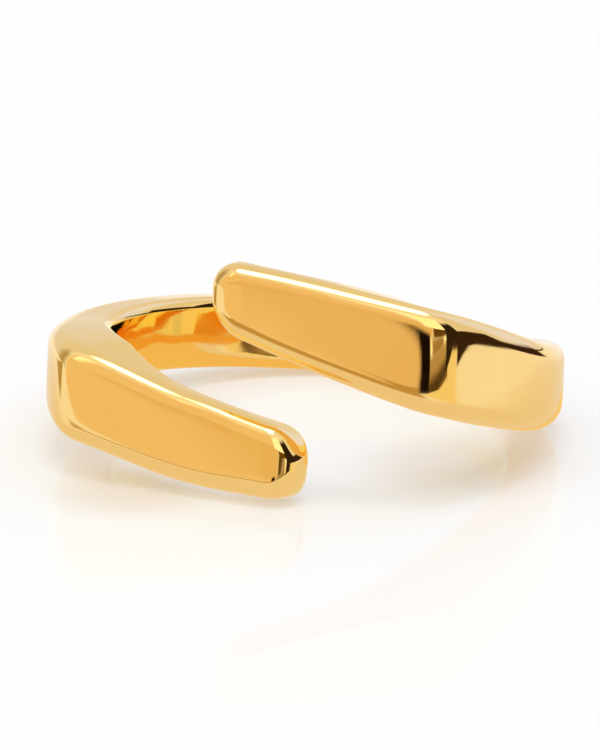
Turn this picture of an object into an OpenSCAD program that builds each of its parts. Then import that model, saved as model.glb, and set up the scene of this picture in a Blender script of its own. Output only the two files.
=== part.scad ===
// Open cuff ring: one solid bar of polished metal, bent round a finger hole.
// The narrow back widens into two shoulders, turns two tight front corners and ends
// in two flat tapering arms, which pass one above the other with a gap between them.
//
// The ring is drawn with its finger hole along Z and its open front towards -Y, and is
// then leaned onto the surface it lies on: the lower arm's tip and the back touch it.
// The origin is the middle of the bounding box's underside. Lengths are millimetres.

/* [Finger hole] */
// Diameter of the finger hole
finger_d = 17.2; // [16.8:0.1:17.4]

/* [Band] */
// Wall at the middle of the back
back_wall = 2.3; // [2.1:0.05:2.6]
// Outer radius of the back, in plan
back_arc_r = 11; // [10.6:0.1:11.4]
// Width of the band at the middle of the back
back_w = 3; // [2.6:0.1:3.4]
// Radius of the rounded edges on the outside of the band
outer_edge_r = 0.8; // [0.6:0.05:0.9]
// Radius of the rounded edges on the inside of the band
inner_edge_r = 0.45; // [0.3:0.05:0.8]
// Radius that rounds the end of each arm
tip_r = 1.25; // [1:0.05:1.3]

/* [Lie] */
// Lean of the ring's front, held up by the lower tip
lean = 10; // [9:0.1:11]
// Roll of the ring about its front, with positive values setting its right side higher
roll = 0.5; // [-1:0.1:2]

/* [Hidden] */

// The two halves of the ring, from the middle of its back to the tip of an arm.
// Column names for the plan of each half, seen along the finger hole
BACK_TURN = 0;
SIDE_R = 1;
SIDE_TURN = 2;
CORNER_R = 3;
SPLAY = 4;
ARM_L = 5;
PLAN = [
    // back_turn, side_r, side_turn, corner_r, splay, arm_l
    [76, 14.25, 45.5, 1.7, 8.6, 9.1], // right half, which ends in the upper arm
    [85.9, 14.5, 38.6, 1.5, 8.1, 10.25] // left half, which ends in the lower arm
];
// Width of the band at five places along each half, from its flank at the back to its tip
WIDTH = [
    // flank, side, corner, arm, tip
    [2.65, 3.62, 4.35, 3.9, 2.87],
    [3.2, 3.1, 4.08, 3.83, 2.9]
];
// Height of the band's middle line there: up from the ring's middle plane in the right
// half, and down from it in the left half
RISE = [
    // flank, side, corner, arm, tip
    [-0.5, -0.42, 1.17, 2.25, 3.53],
    [-0.08, 0.24, 1.29, 2.56, 3.5]
];
// Rise of the middle line for each millimetre run rightwards, at the middle of the back
back_rise = 0.044;
// Twist of the band's faces at the tips, from none at the corners
tip_twist = [3.5, 4.6];

// Shares of the back arc, the side arc and the arm at which three of the columns apply
flank_place = 0.5;
side_place = 0.14;
arm_place = 0.45;
// Distance before a corner at which the sections start to turn from the hole's centre
turn_lead = 2;
// Steps along the back arc, side arc, corner arc and arm, and round the end of an arm
STEPS = [15, 12, 10, 7];
tip_steps = 7;
// Steps round each rounded edge of the band's section
edge_steps = 8;
// Depth that is left of the section at the very end of an arm
least = 0.12;
// Depth by which the swept bar stands into the finger hole before the hole is cut
bore_cut = 0.12;
bore_fn = 180;

finger_r = finger_d / 2;
swept_r = finger_r - bore_cut;
back_y = finger_r + back_wall;
gold = [0.94, 0.72, 0.35];

// Smooth curve through values v at places k, with slope first at its start.
// It never overshoots the values it joins.
function between(a, b) = a * b <= 0 ? 0 : 2 * a * b / (a + b);
function rise_rate(k, v, i) = (v[i + 1] - v[i]) / (k[i + 1] - k[i]);
function slope_at(k, v, i, first) =
    i == 0 ? first
    : i == len(k) - 1 ? rise_rate(k, v, i - 1)
    : between(rise_rate(k, v, i - 1), rise_rate(k, v, i));
function span_at(k, s, i = 0) = i >= len(k) - 2 || s < k[i + 1] ? i : span_at(k, s, i + 1);
function cubic(t, h, v0, v1, m0, m1) =
    v0 * (1 + 2 * t) * pow(1 - t, 2) + v1 * t * t * (3 - 2 * t)
    + h * (m0 * t * pow(1 - t, 2) - m1 * t * t * (1 - t));
function smooth_at(k, v, s, first) =
    let (i = span_at(k, s), h = k[i + 1] - k[i], t = (s - k[i]) / h)
    cubic(t, h, v[i], v[i + 1], slope_at(k, v, i, first), slope_at(k, v, i + 1, first));

// Plan of half i as arcs of [radius, turn], and the running distance to each arc's end
function arcs(i) = [
    [back_arc_r, PLAN[i][BACK_TURN]],
    [PLAN[i][SIDE_R], PLAN[i][SIDE_TURN]],
    [PLAN[i][CORNER_R], 180 - PLAN[i][SPLAY] - PLAN[i][BACK_TURN] - PLAN[i][SIDE_TURN]]
];
function arc_l(a) = a[0] * a[1] * PI / 180;
function turned(i, n) = n == 0 ? 0 : turned(i, n - 1) + arcs(i)[n - 1][1];
function run_l(i, n) = n == 0 ? 0 : run_l(i, n - 1) + arc_l(arcs(i)[n - 1]);
function arc_end(p, turn, a) =
    p + a[0] * [sin(turn + a[1]) - sin(turn), cos(turn + a[1]) - cos(turn)];
function run_point(i, n) =
    n == 0 ? [0, back_y] : arc_end(run_point(i, n - 1), turned(i, n - 1), arcs(i)[n - 1]);
function half_l(i) = run_l(i, 3) + PLAN[i][ARM_L];

// Outline point, outward direction and distance run, for each station of half i
function on_arc(i, n, f) =
    let (a = arcs(i)[n], part = [a[0], a[1] * f], turn = turned(i, n))
    [arc_end(run_point(i, n), turn, part), turn + part[1], run_l(i, n) + arc_l(part)];
function on_arm(i, d) =
    let (turn = turned(i, 3))
    [run_point(i, 3) + d * [cos(turn), -sin(turn)], turn, run_l(i, 3) + d];
function stations(i) = [
    for (n = [0:2]) for (j = [0:STEPS[n] - 1]) on_arc(i, n, j / STEPS[n]),
    for (j = [0:STEPS[3] - 1]) on_arm(i, (PLAN[i][ARM_L] - tip_r) * j / STEPS[3]),
    for (j = [0:tip_steps]) on_arm(i, PLAN[i][ARM_L] - tip_r * (1 - sin(90 * j / tip_steps)))
];

// Places along half i where the columns apply, and the curves through them
function places(i) = [
    0,
    flank_place * run_l(i, 1),
    run_l(i, 1) + side_place * (run_l(i, 2) - run_l(i, 1)),
    (run_l(i, 2) + run_l(i, 3)) / 2,
    run_l(i, 3) + arm_place * PLAN[i][ARM_L],
    half_l(i)
];
function width_at(i, s) = smooth_at(places(i), concat([back_w], WIDTH[i]), s, 0);
function rise_at(i, s) = smooth_at(places(i), concat([0], RISE[i]), s, back_rise);
function twist_at(i, s) = tip_twist[i] * max(0, s - places(i)[3]) / (half_l(i) - places(i)[3]);

// The section stands square to the finger hole, and turns square to the face by the tip
function section_dir(i, st) =
    let (
        from = run_l(i, 2) - turn_lead,
        u = max(0, (st[2] - from) / (half_l(i) - from)),
        f = u * u * (3 - 2 * u),
        d = (1 - f) * st[0] / norm(st[0]) + f * [sin(st[1]), cos(st[1])]
    )
    d / norm(d);
// Wall from an outline point p, along direction d, to the swept inner face
function wall_at(p, d) = p * d - sqrt(pow(p * d, 2) - p * p + swept_r * swept_r);

// Rounded section: w along the finger hole, t deep from the outer face
function edge(cu, cv, r, from) = [
    for (j = [0:edge_steps])
        let (a = from + 90 * j / edge_steps) [cu + r * cos(a), cv + r * sin(a)]
];
function section(w, t, ro, ri) = concat(
    edge(w / 2 - ro, -ro, ro, 0),
    edge(ro - w / 2, -ro, ro, 90),
    edge(ri - w / 2, ri - t, ri, 180),
    edge(w / 2 - ri, ri - t, ri, 270)
);
// Inset of the section near the tip, a quarter circle of radius tip_r
function inset_at(i, s) =
    let (g = max(0, 1 - (half_l(i) - s) / tip_r)) tip_r * (1 - sqrt(max(0, 1 - g * g)));

// Section of half i at a station, in the ring's own frame; the left half is turned over
function ring_section(i, st) =
    let (
        s = st[2],
        d = section_dir(i, st),
        t = wall_at(st[0], d),
        inset = inset_at(i, s),
        deep = inset * (t - least) / 2 / tip_r,
        w_cut = width_at(i, s) - 2 * inset,
        t_cut = t - 2 * deep,
        most = min(w_cut, t_cut) / 2 - 0.02,
        a = twist_at(i, s),
        side = i == 0 ? 1 : -1
    )
    [
        for (q = section(w_cut, t_cut, min(outer_edge_r, most), min(inner_edge_r, most)))
            let (
                depth = q.y - deep + t / 2,
                u = q.x * cos(a) - depth * sin(a),
                v = q.x * sin(a) + depth * cos(a) - t / 2,
                plan = st[0] + v * d
            )
            [side * plan.x, plan.y, side * (rise_at(i, s) + u)]
    ];
// The left half's sections run the other way round, so they match the right half's
function swapped(ring) = [
    for (j = [0:len(ring) - 1]) ring[(len(ring) / 2 - 1 - j + len(ring)) % len(ring)]
];
function rings() =
    let (right = stations(0), left = stations(1))
    concat(
        [for (j = [len(left) - 1:-1:1]) swapped(ring_section(1, left[j]))],
        [for (st = right) ring_section(0, st)]
    );

// Lean and roll of the ring onto its surface
function laid(p) =
    let (
        y = p.y * cos(lean) + p.z * sin(lean),
        z = p.z * cos(lean) - p.y * sin(lean)
    )
    [p.x * cos(roll) - z * sin(roll), y, p.x * sin(roll) + z * cos(roll)];

bar = rings();
per_ring = len(bar[0]);
points = [for (ring = bar) for (p = ring) laid(p)];
function low(axis) = min([for (p = points) p[axis]]);
function high(axis) = max([for (p = points) p[axis]]);
shift = [-(low(0) + high(0)) / 2, -(low(1) + high(1)) / 2, -low(2)];

function quad(r, j) =
    let (a = r * per_ring + j, b = r * per_ring + (j + 1) % per_ring)
    [a, b, b + per_ring, a + per_ring];
sides = [
    for (r = [0:len(bar) - 2]) for (j = [0:per_ring - 1])
        let (q = quad(r, j)) each [[q[0], q[1], q[2]], [q[0], q[2], q[3]]]
];
ends = [
    [for (j = [per_ring - 1:-1:0]) j],
    [for (j = [0:per_ring - 1]) (len(bar) - 1) * per_ring + j]
];

// The finger hole, cut right through along the ring's own axis
module finger_hole() {
    rotate([0, -roll, 0])
        rotate([-lean, 0, 0])
            cylinder(h = 4 * finger_d, r = finger_r, center = true, $fn = bore_fn);
}

// The whole ring
module cuff_band() {
    color(gold)
        translate(shift)
            difference() {
                polyhedron(points = points, faces = concat(sides, ends));
                finger_hole();
            }
}

cuff_band();
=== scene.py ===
import math

import bpy
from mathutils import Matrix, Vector


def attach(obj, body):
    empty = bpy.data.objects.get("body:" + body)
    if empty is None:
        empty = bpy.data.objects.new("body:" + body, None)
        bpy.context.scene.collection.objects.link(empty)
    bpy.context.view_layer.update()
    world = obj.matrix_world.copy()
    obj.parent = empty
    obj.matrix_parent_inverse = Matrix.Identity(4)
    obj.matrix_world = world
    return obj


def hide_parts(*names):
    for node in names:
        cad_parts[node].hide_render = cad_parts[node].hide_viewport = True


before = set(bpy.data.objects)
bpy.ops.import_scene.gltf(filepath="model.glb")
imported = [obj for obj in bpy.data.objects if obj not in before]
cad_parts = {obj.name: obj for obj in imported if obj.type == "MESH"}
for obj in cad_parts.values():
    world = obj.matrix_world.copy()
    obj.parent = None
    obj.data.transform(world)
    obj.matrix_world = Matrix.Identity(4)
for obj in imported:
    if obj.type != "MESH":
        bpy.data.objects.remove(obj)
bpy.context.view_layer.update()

# Sizes in millimetres, as in the part's source
FINGER_R = 8.6
BACK_Y = FINGER_R + 2.3
BACK_R = 11.0
BACK_W = 3.0
BACK_RISE = 0.044
OUTER_R = 0.8
INNER_R = 0.45
TIP_R = 1.25
LEAN, ROLL = math.radians(10), math.radians(0.5)
# Each half of the ring, right then left: turns of its back and side arcs, radii, splay and
# length of its arm, and its widths and heights from the flank to the tip
HALVES = (
    dict(turns=(76, 45.5), side_r=14.25, corner_r=1.7, splay=8.6, arm=9.1,
         width=(2.65, 3.62, 4.35, 3.9, 2.87), rise=(-0.5, -0.42, 1.17, 2.25, 3.53), twist=3.5),
    dict(turns=(85.9, 38.6), side_r=14.5, corner_r=1.5, splay=8.1, arm=10.25,
         width=(3.2, 3.1, 4.08, 3.83, 2.9), rise=(-0.08, 0.24, 1.29, 2.56, 3.5), twist=4.6),
)
# Shares of the back arc, the side arc and the arm at which three of the columns apply
FLANK_PLACE, SIDE_PLACE, ARM_PLACE = 0.5, 0.14, 0.45
# Distance before a corner at which the sections start to turn from the hole's centre
TURN_LEAD = 2.0
# Depth that is left of the section at the very end of an arm, and half of the flat that is
# left between its rounded edges
LEAST, FLAT = 0.12, 0.02
# Crown of the polished outer face: on the band, on the flat arms, and added at each corner
BAND_CROWN, ARM_CROWN, CORNER_CROWN = 0.03, 0.008, 0.07
# Distance over which the corner's crown fades, and the band's crown turns into the arm's
CORNER_FADE, ARM_FADE = 1.1, 0.4
# Distance between sections, steps round a tip, round each edge and across each face
STEP = 0.16
TIP_STEPS = 16
EDGE_STEPS = 12
FACE_STEPS = (8, 6, 8, 6)
MM = 0.001


# Plan of the ring
def arcs(h):
    a, b = h["turns"]
    return ((BACK_R, a), (h["side_r"], b), (h["corner_r"], 180 - h["splay"] - a - b))


def lengths(h):
    ends, total = [], 0.0
    for r, turn in arcs(h):
        total += r * math.radians(turn)
        ends.append(total)
    return ends + [total + h["arm"]]


def plan_at(h, s):
    x, y, turn, start = 0.0, BACK_Y, 0.0, 0.0
    for r, degrees in arcs(h):
        end = start + r * math.radians(degrees)
        part = (min(s, end) - start) / r
        x += r * (math.sin(turn + part) - math.sin(turn))
        y += r * (math.cos(turn + part) - math.cos(turn))
        turn += part
        if s <= end:
            return x, y, turn
        start = end
    return x + (s - start) * math.cos(turn), y - (s - start) * math.sin(turn), turn


# The plan, eased over a short run so that reflections flow across the joints of its arcs
EASE_STEP = 0.18
EASE = [(EASE_STEP * (k - 3), w / 64) for k, w in enumerate((1, 6, 15, 20, 15, 6, 1))]


def eased(h, s):
    spots = [(w, plan_at(h, s + d)) for d, w in EASE]
    return [sum(w * p[k] for w, p in spots) for k in range(3)]


# Smooth curve through values, which never overshoots them
def smooth_at(places, values, s, first):
    rates = [(values[i + 1] - values[i]) / (places[i + 1] - places[i]) for i in range(len(places) - 1)]
    slopes = [first]
    for a, b in zip(rates, rates[1:]):
        slopes.append(0.0 if a * b <= 0 else 2 * a * b / (a + b))
    slopes.append(rates[-1])
    i = 0
    while i < len(places) - 2 and s >= places[i + 1]:
        i += 1
    span = places[i + 1] - places[i]
    t = (s - places[i]) / span
    return (
        values[i] * (1 + 2 * t) * (1 - t) ** 2
        + values[i + 1] * t * t * (3 - 2 * t)
        + span * (slopes[i] * t * (1 - t) ** 2 - slopes[i + 1] * t * t * (1 - t))
    )


def places(h):
    back, side, corner, tip = lengths(h)
    return [0, FLANK_PLACE * back, back + SIDE_PLACE * (side - back), (side + corner) / 2,
            corner + ARM_PLACE * h["arm"], tip]


# Rounded section, with its flat faces divided as well: w along the finger hole, t deep
def section(w, t, ro, ri):
    corners = ((w / 2 - ro, -ro, ro, 0), (ro - w / 2, -ro, ro, 90), (ri - w / 2, ri - t, ri, 180),
               (w / 2 - ri, ri - t, ri, 270))
    loop = []
    for n, (u, v, r, start) in enumerate(corners):
        arc = []
        for j in range(EDGE_STEPS + 1):
            a = math.radians(start + 90 * j / EDGE_STEPS)
            arc.append((u + r * math.cos(a), v + r * math.sin(a)))
        u2, v2, r2, start2 = corners[(n + 1) % 4]
        a = math.radians(start2)
        goal = (u2 + r2 * math.cos(a), v2 + r2 * math.sin(a))
        loop += arc
        for j in range(1, FACE_STEPS[n]):
            f = j / FACE_STEPS[n]
            loop.append((arc[-1][0] * (1 - f) + goal[0] * f, arc[-1][1] * (1 - f) + goal[1] * f))
    return loop


def ring_section(i, s):
    h = HALVES[i]
    back, side, corner, tip = lengths(h)
    x, y, turn = eased(h, s)
    u = max(0.0, (s - (side - TURN_LEAD)) / (tip - side + TURN_LEAD))
    f = u * u * (3 - 2 * u)
    far = math.hypot(x, y)
    dx = (1 - f) * x / far + f * math.sin(turn)
    dy = (1 - f) * y / far + f * math.cos(turn)
    norm = math.hypot(dx, dy)
    dx, dy = dx / norm, dy / norm
    along = x * dx + y * dy
    wall = along - math.sqrt(along * along - far * far + FINGER_R * FINGER_R)
    knots = places(h)
    width = smooth_at(knots, [BACK_W, *h["width"]], s, 0)
    rise = smooth_at(knots, [0, *h["rise"]], s, BACK_RISE)
    twist = math.radians(h["twist"]) * max(0, s - knots[3]) / (tip - knots[3])
    g = max(0.0, 1 - (tip - s) / TIP_R)
    inset = TIP_R * (1 - math.sqrt(max(0.0, 1 - g * g)))
    deep = inset * (wall - LEAST) / 2 / TIP_R
    w, t = width - 2 * inset, wall - 2 * deep
    most = min(w, t) / 2 - FLAT
    hand = 1 if i == 0 else -1
    at_corner = math.exp(-(((s - knots[3]) / CORNER_FADE) ** 2))
    on_arm = 1 / (1 + math.exp(-(s - knots[3]) / ARM_FADE))
    crown = BAND_CROWN + (ARM_CROWN - BAND_CROWN) * on_arm + CORNER_CROWN * at_corner
    ring = []
    for qu, qv in section(w, t, min(OUTER_R, most), min(INNER_R, most)):
        qv -= crown * (2 * qu / w) ** 2 * (1 + qv / t)
        depth = qv - deep + wall / 2
        pu = qu * math.cos(twist) - depth * math.sin(twist)
        pv = qu * math.sin(twist) + depth * math.cos(twist) - wall / 2
        ring.append((hand * (x + pv * dx), y + pv * dy, hand * (rise + pu)))
    return ring


def stations(i):
    tip = lengths(HALVES[i])[3]
    run = tip - TIP_R
    count = round(run / STEP)
    first = [run * j / count for j in range(count)]
    turns = [math.radians(90 * j / TIP_STEPS) for j in range(TIP_STEPS + 1)]
    return first + [tip - TIP_R * (1 - math.sin(turn)) for turn in turns]


def laid(p):
    x, y, z = p
    y, z = y * math.cos(LEAN) + z * math.sin(LEAN), z * math.cos(LEAN) - y * math.sin(LEAN)
    return Vector((x * math.cos(ROLL) - z * math.sin(ROLL), y, x * math.sin(ROLL) + z * math.cos(ROLL)))


def swapped(ring):
    # The left half's sections run the other way round, so they match the right half's
    last = 2 * EDGE_STEPS + FACE_STEPS[0]
    return [ring[(last - j) % len(ring)] for j in range(len(ring))]


def build_ring():
    rings = [swapped(ring_section(1, s)) for s in reversed(stations(1)[1:])]
    rings += [ring_section(0, s) for s in stations(0)]
    points = [laid(p) for ring in rings for p in ring]
    low = [min(p[k] for p in points) for k in range(3)]
    high = [max(p[k] for p in points) for k in range(3)]
    shift = Vector((-(low[0] + high[0]) / 2, -(low[1] + high[1]) / 2, -low[2]))
    n = len(rings[0])
    faces = []
    for r in range(len(rings) - 1):
        for j in range(n):
            a, b = r * n + j, r * n + (j + 1) % n
            faces.append((a, a + n, b + n, b))
    faces.append(tuple(range(n)))
    faces.append(tuple((len(rings) - 1) * n + j for j in reversed(range(n))))
    mesh = bpy.data.meshes.new("gold_band")
    mesh.from_pydata([(p + shift) * MM for p in points], [], faces)
    mesh.validate()
    mesh.polygons.foreach_set("use_smooth", [True] * len(mesh.polygons))
    mesh.update()
    obj = bpy.data.objects.new("gold_band", mesh)
    bpy.context.scene.collection.objects.link(obj)
    return obj, shift * MM


ring, shift = build_ring()
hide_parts("cuff_band")
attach(ring, "root")


# Materials
def nodes_of(block):
    block.use_nodes = True
    tree = block.node_tree
    tree.nodes.clear()
    return tree


def math_node(tree, operation, a, b=None):
    node = tree.nodes.new("ShaderNodeMath")
    node.operation = operation
    for socket, value in zip(node.inputs, (a, b)):
        if value is None:
            continue
        if isinstance(value, (int, float)):
            socket.default_value = value
        else:
            tree.links.new(value, socket)
    return node.outputs[0]


def ramp(tree, value, low, high, to_low=0.0, to_high=1.0):
    node = tree.nodes.new("ShaderNodeMapRange")
    node.interpolation_type = "SMOOTHSTEP"
    tree.links.new(value, node.inputs["Value"])
    node.inputs["From Min"].default_value = low
    node.inputs["From Max"].default_value = high
    node.inputs["To Min"].default_value = to_low
    node.inputs["To Max"].default_value = to_high
    return node.outputs["Result"]


def mix(tree, factor, a, b):
    node = tree.nodes.new("ShaderNodeMix")
    node.data_type = "RGBA"
    tree.links.new(factor, node.inputs["Factor"])
    for socket, value in ((node.inputs[6], a), (node.inputs[7], b)):
        if isinstance(value, tuple):
            socket.default_value = (*value, 1.0)
        else:
            tree.links.new(value, socket)
    return node.outputs[2]


def multiply(tree, a, b):
    return math_node(tree, "MULTIPLY", a, b)


# Ramp that starts at one value and is full at the other, whichever of them is higher
def grow(tree, value, start, full):
    if start < full:
        return ramp(tree, value, start, full)
    return ramp(tree, value, full, start, 1.0, 0.0)


def distance(tree, where, point):
    node = tree.nodes.new("ShaderNodeVectorMath")
    node.operation = "DISTANCE"
    tree.links.new(where, node.inputs[0])
    node.inputs[1].default_value = point
    return node.outputs["Value"]


def noise(tree, where, scale, detail):
    node = tree.nodes.new("ShaderNodeTexNoise")
    node.inputs["Scale"].default_value = scale
    node.inputs["Detail"].default_value = detail
    tree.links.new(where, node.inputs["Vector"])
    return node.outputs["Fac"]


# The gold. Each noise is [scale, detail], and each span holds the noise values between which
# the surface turns from the first of its two tones or roughnesses to the second.
GOLD_TONES = ((0.95, 0.645, 0.24), (0.955, 0.665, 0.255))
GOLD_EDGE = (1.0, 0.95, 0.85, 1.0)
GOLD_ROUGHNESS = (0.035, 0.075)
DRIFT, HAZE, MARKS = (260.0, 2.0), (900.0, 4.0), (5200.0, 3.0)
DRIFT_SPAN, HAZE_SPAN = (0.35, 0.65), (0.35, 0.75)
MARK_STRENGTH, MARK_DEPTH = 0.02, 0.00001


def polished_gold():
    material = bpy.data.materials.new("polished_gold")
    tree = nodes_of(material)
    link = tree.links.new
    out = tree.nodes.new("ShaderNodeOutputMaterial")
    shader = tree.nodes.new("ShaderNodeBsdfPrincipled")
    shader.inputs["Metallic"].default_value = 1.0
    shader.inputs["Specular Tint"].default_value = GOLD_EDGE
    link(shader.outputs[0], out.inputs["Surface"])
    where = tree.nodes.new("ShaderNodeTexCoord").outputs["Object"]
    # Slight drift of the plate's colour
    tone = ramp(tree, noise(tree, where, *DRIFT), *DRIFT_SPAN)
    link(mix(tree, tone, *GOLD_TONES), shader.inputs["Base Color"])
    # Polish that is a little less even in some places
    uneven = ramp(tree, noise(tree, where, *HAZE), *HAZE_SPAN, *GOLD_ROUGHNESS)
    link(uneven, shader.inputs["Roughness"])
    # Polishing marks, far finer than the band
    bump = tree.nodes.new("ShaderNodeBump")
    bump.inputs["Strength"].default_value = MARK_STRENGTH
    bump.inputs["Distance"].default_value = MARK_DEPTH
    link(noise(tree, where, *MARKS), bump.inputs["Height"])
    link(bump.outputs[0], shader.inputs["Normal"])
    return material


ring.data.materials.append(polished_gold())

# The floor, in metres: pale, slightly glossy, and ending a little way in front of the ring
FLOOR_HALF, FLOOR_FRONT = 1.0, -0.085
FLOOR_MATT = (0.592, 0.61, 0.635, 1.0)
FLOOR_GLOSS, FLOOR_ROUGHNESS = 0.12, (0.05, 0.06)
FLOOR_HAZE, FLOOR_SPAN = (60.0, 2.0), (0.3, 0.7)
# Its glow, and a painted warm shadow under the right shoulder and the lower arm: there the
# glow turns darker and warmer, for shade and the gold's warm light. Each of those two spots is
# [centre, none beyond, full within].
GLOW, PAINTED_WARM_SHADE = (0.41, 0.404, 0.392), (0.32, 0.27, 0.2)
PAINTED_SHADOW_SPOTS = (((0.0075, -0.0025, 0.0), 0.006, 0.001), ((-0.0045, -0.0105, 0.0), 0.0045, 0.001))
# Painted shade and reflections: areas of the floor that glow in a colour of their own only for
# rays reflected off the ring, so that the gold mirrors these colours there. Each is that colour
# and the edges that bound it, as [measure, where it starts, where it is full].
# A measure of two numbers is that share of x and of y. One of three is the distance from
# that point.
X, Y, ORIGIN = (1.0, 0.0), (0.0, 1.0), (0.0, 0.0, 0.0)
PAINTED_SHADE_AND_REFLECTIONS = [
    # Round the ring, a painted shade: the ring's own shadow on the floor, as the gold mirrors it
    ((0.9, 0.83, 0.72), [(ORIGIN, 0.03, 0.016)]),
    # In front of the arms
    ((0.58, 0.39, 0.15), [(Y, -0.018, -0.027), (X, -0.034, -0.024), (X, 0.014, 0.008)]),
    # Inside the finger hole
    ((0.95, 0.7, 0.3), [((0.002, 0.0045, 0.0), 0.0105, 0.009)]),
    # Left of the ring
    ((0.5, 0.38, 0.17), [(X, -0.026, -0.034), (Y, -0.012, -0.006), (Y, 0.01, 0.004)]),
    # In front of the right shoulder, near and far
    ((0.98, 0.86, 0.5), [(X, 0.014, 0.024), (Y, -0.004, -0.012)]),
    ((0.2, 0.12, 0.02), [(ORIGIN, 0.092, 0.112), (X, 0.01, 0.02), ((0.5, 1.0), 0.002, -0.006)]),
    # Behind the right shoulder, and far to its right
    ((0.04, 0.02, 0.01), [((0.33, 1.0), 0.029, 0.033), ((1.0, -0.42), 0.009, 0.013)]),
    ((0.04, 0.02, 0.01), [(X, 0.061, 0.067), (Y, -0.009, -0.005)]),
]


def measured(tree, where, x, y, measure):
    if len(measure) == 3:
        return distance(tree, where, measure)
    return math_node(tree, "ADD", multiply(tree, x, measure[0]), multiply(tree, y, measure[1]))


def floor_material():
    material = bpy.data.materials.new("glossy_white")
    tree = nodes_of(material)
    link = tree.links.new
    out = tree.nodes.new("ShaderNodeOutputMaterial")
    matt = tree.nodes.new("ShaderNodeBsdfDiffuse")
    matt.inputs["Color"].default_value = FLOOR_MATT
    glow = tree.nodes.new("ShaderNodeEmission")
    lit = tree.nodes.new("ShaderNodeAddShader")
    link(matt.outputs[0], lit.inputs[0])
    link(glow.outputs[0], lit.inputs[1])
    gloss = tree.nodes.new("ShaderNodeBsdfGlossy")
    where = tree.nodes.new("ShaderNodeTexCoord").outputs["Object"]
    uneven = ramp(tree, noise(tree, where, *FLOOR_HAZE), *FLOOR_SPAN, *FLOOR_ROUGHNESS)
    link(uneven, gloss.inputs["Roughness"])
    both = tree.nodes.new("ShaderNodeMixShader")
    both.inputs["Fac"].default_value = FLOOR_GLOSS
    link(lit.outputs[0], both.inputs[1])
    link(gloss.outputs[0], both.inputs[2])
    # Painted warm shadow: within the two spots under the ring the glow is darker and warmer
    spots = [grow(tree, distance(tree, where, centre), none, full) for centre, none, full in PAINTED_SHADOW_SPOTS]
    link(mix(tree, math_node(tree, "MAXIMUM", *spots), GLOW, PAINTED_WARM_SHADE), glow.inputs["Color"])
    split = tree.nodes.new("ShaderNodeSeparateXYZ")
    link(where, split.inputs[0])
    x, y, _ = split.outputs
    seen = tree.nodes.new("ShaderNodeLightPath").outputs["Is Glossy Ray"]
    shown = both.outputs[0]
    # Painted shade and reflections: for rays reflected off the ring, each area's colour glows in place
    # of the floor
    for tint, edges in PAINTED_SHADE_AND_REFLECTIONS:
        mask = seen
        for measure, start, full in edges:
            mask = multiply(tree, mask, grow(tree, measured(tree, where, x, y, measure), start, full))
        painted_reflection = tree.nodes.new("ShaderNodeEmission")
        painted_reflection.inputs["Color"].default_value = (*tint, 1.0)
        blend = tree.nodes.new("ShaderNodeMixShader")
        link(mask, blend.inputs["Fac"])
        link(shown, blend.inputs[1])
        link(painted_reflection.outputs[0], blend.inputs[2])
        shown = blend.outputs[0]
    link(shown, out.inputs["Surface"])
    return material


def floor():
    left, right, front, back = -FLOOR_HALF, FLOOR_HALF, FLOOR_FRONT, FLOOR_HALF
    corners = [(left, front, 0), (right, front, 0), (right, back, 0), (left, back, 0)]
    mesh = bpy.data.meshes.new("floor")
    mesh.from_pydata(corners, [], [(0, 1, 2, 3)])
    obj = bpy.data.objects.new("floor", mesh)
    bpy.context.scene.collection.objects.link(obj)
    mesh.materials.append(floor_material())


floor()

# The studio: white all round, with soft cards laid over it one after another. Each is
# [azimuth from, to, softness], [elevation from, to, softness], colour, in degrees, with
# azimuth counted from the ring's open front and growing towards its right side.
WHITE = (1.0, 1.0, 1.0)
CARDS = [
    # Amber in front and to the left, and a deeper strip of it
    ((-70, 10, 2), (-40, 62, 10), (0.94, 0.75, 0.48)),
    ((-2.5, 10, 1.5), (-40, 30, 10), (0.87, 0.665, 0.395)),
    # Brown on the left side, bright high on the left, and a thin brown strip low in front
    ((-116, -80, 14), (-40, 42, 12), (0.5, 0.42, 0.25)),
    ((-60, -40, 5), (40, 64, 6), (1.5, 1.4, 1.2)),
    ((-1.6, 3, 0.4), (-40, -0.8, 0.3), (0.55, 0.38, 0.14)),
    # Bright from the front to the right, with amber, brown and dark bands across and below it
    ((12, 60, 2), (3.7, 60, 1.2), (1.4, 1.4, 1.2)),
    ((-34.5, 24, 2.5), (6, 16, 2), (0.86, 0.645, 0.335)),
    ((15, 62, 2), (-40, 3.7, 0.8), (0.52, 0.38, 0.18)),
    ((15, 62, 4), (-40, 0.5, 1.5), (0.1, 0.06, 0.02)),
    ((25, 70, 3), (6.5, 16, 1), (0.14, 0.07, 0.01)),
    ((22, 53, 3), (3.4, 6.5, 1), (0.4, 0.27, 0.1)),
    # A black strip, low in front
    ((3, 17, 1.5), (-40, 8, 1.5), (0.01, 0.005, 0.002)),
    # Darkness on the right, and low behind it
    ((59.5, 95, 1.2), (-40, 44, 8), (0.03, 0.02, 0.01)),
    ((93, 130, 2), (-40, 13, 2), (0.04, 0.02, 0.01)),
    ((120, 157, 3), (-40, 3, 3), (0.04, 0.02, 0.01)),
    ((145, 157, 3), (-40, 10, 3), (0.1, 0.06, 0.02)),
    # Cool light behind on the right
    ((140, 172, 8), (3, 78, 4), (0.88, 1.0, 1.6)),
]
# Two cards that are the same on both sides: the back wall, laid first, and the overhead
# light, laid last
BACK_WALL = ((100, 181, 10), (-1, 78, 3), (0.84, 0.84, 0.84))
OVERHEAD = ((-1, 181, 0.5), (77, 91, 3), (4.2, 4.3, 4.5))
# The studio as it is seen past more than one reflection, as [reflections passed, colour]:
# mostly an even cool light, since each reflection in the gold makes it more orange
DEEP = ((1.5, (1.1, 1.42, 1.6)), (2.5, (1.14, 2.1, 3.2)))
DEEP_SHARE = 0.8


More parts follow.
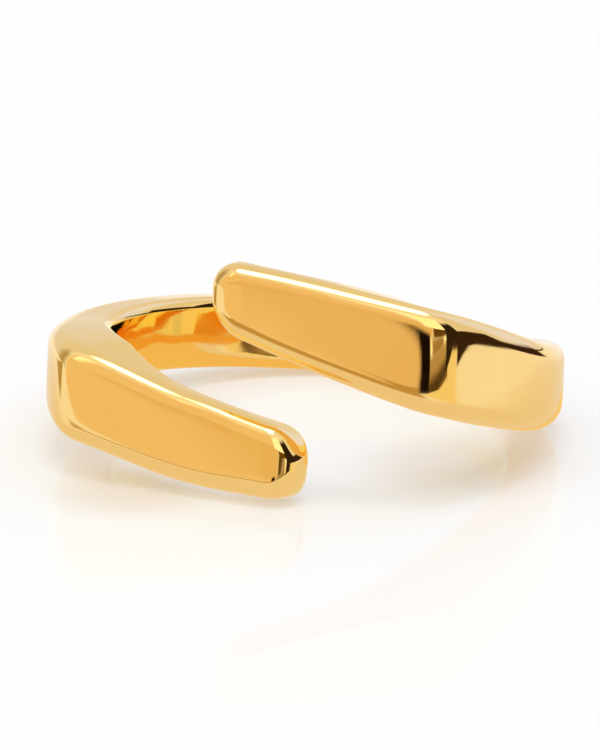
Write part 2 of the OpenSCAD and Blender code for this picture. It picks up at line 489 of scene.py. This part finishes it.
def studio():
    world = bpy.data.worlds.new("studio")
    bpy.context.scene.world = world
    tree = nodes_of(world)
    out = tree.nodes.new("ShaderNodeOutputWorld")
    back = tree.nodes.new("ShaderNodeBackground")
    tree.links.new(back.outputs[0], out.inputs["Surface"])
    where = tree.nodes.new("ShaderNodeTexCoord").outputs["Generated"]
    split = tree.nodes.new("ShaderNodeSeparateXYZ")
    tree.links.new(where, split.inputs[0])
    x, y, z = split.outputs
    turn = multiply(tree, math_node(tree, "ARCTAN2", x, multiply(tree, y, -1.0)), 180 / math.pi)
    either = math_node(tree, "ABSOLUTE", turn)
    rise = multiply(tree, math_node(tree, "ARCSINE", z), 180 / math.pi)

    def inside(value, low, high, soft):
        enter = grow(tree, value, low - soft, low + soft)
        return multiply(tree, enter, grow(tree, value, high + soft, high - soft))

    colour = WHITE
    cards = [(either, BACK_WALL), *((turn, card) for card in CARDS), (either, OVERHEAD)]
    for around, (azimuth, elevation, tint) in cards:
        mask = multiply(tree, inside(around, *azimuth), inside(rise, *elevation))
        colour = mix(tree, mask, colour, tint)
    path = tree.nodes.new("ShaderNodeLightPath")
    for bounces, tint in DEEP:
        deep = math_node(tree, "GREATER_THAN", path.outputs["Glossy Depth"], bounces)
        colour = mix(tree, multiply(tree, deep, DEEP_SHARE), colour, tint)
    colour = mix(tree, path.outputs["Is Camera Ray"], colour, WHITE)
    tree.links.new(colour, back.inputs["Color"])


studio()
bpy.context.scene.view_settings.view_transform = "Standard"
bpy.context.scene.view_settings.look = "None"

# The camera, from the photograph: picture pixels for each millimetre at the finger hole's
# axis, focal length in pixels, angles, and where the axis meets the floor in the picture
PICTURE_W, PICTURE_H = 600, 750
PX_PER_MM = 23.0
FOCAL_PX = 4500.0
ELEVATION, AZIMUTH = math.radians(16.31), math.radians(18.2)
AXIS_PX = (310.5, 430.0)
SENSOR_MM = 24.0
# Nearest and farthest distance that the camera sees, in metres
NEAREST, FARTHEST = 0.005, 10.0


def camera():
    ce, se = math.cos(ELEVATION), math.sin(ELEVATION)
    ca, sa = math.cos(AZIMUTH), math.sin(AZIMUTH)
    right = Vector((ca, sa, 0))
    forward = Vector((-sa * ce, ca * ce, -se))
    up = Vector((-sa * se, ca * se, ce))
    place = Vector((shift.x, shift.y, 0)) / MM
    place -= right * (AXIS_PX[0] - PICTURE_W / 2) / PX_PER_MM
    place += up * (AXIS_PX[1] - PICTURE_H / 2) / PX_PER_MM
    place -= forward * FOCAL_PX / PX_PER_MM
    data = bpy.data.cameras.new("camera")
    data.sensor_fit = "VERTICAL"
    data.sensor_height = SENSOR_MM
    data.lens = SENSOR_MM * FOCAL_PX / PICTURE_H
    data.clip_start = NEAREST
    data.clip_end = FARTHEST
    obj = bpy.data.objects.new("camera", data)
    bpy.context.scene.collection.objects.link(obj)
    obj.location = place * MM
    obj.rotation_euler = forward.to_track_quat("-Z", "Y").to_euler()
    bpy.context.scene.camera = obj


camera()
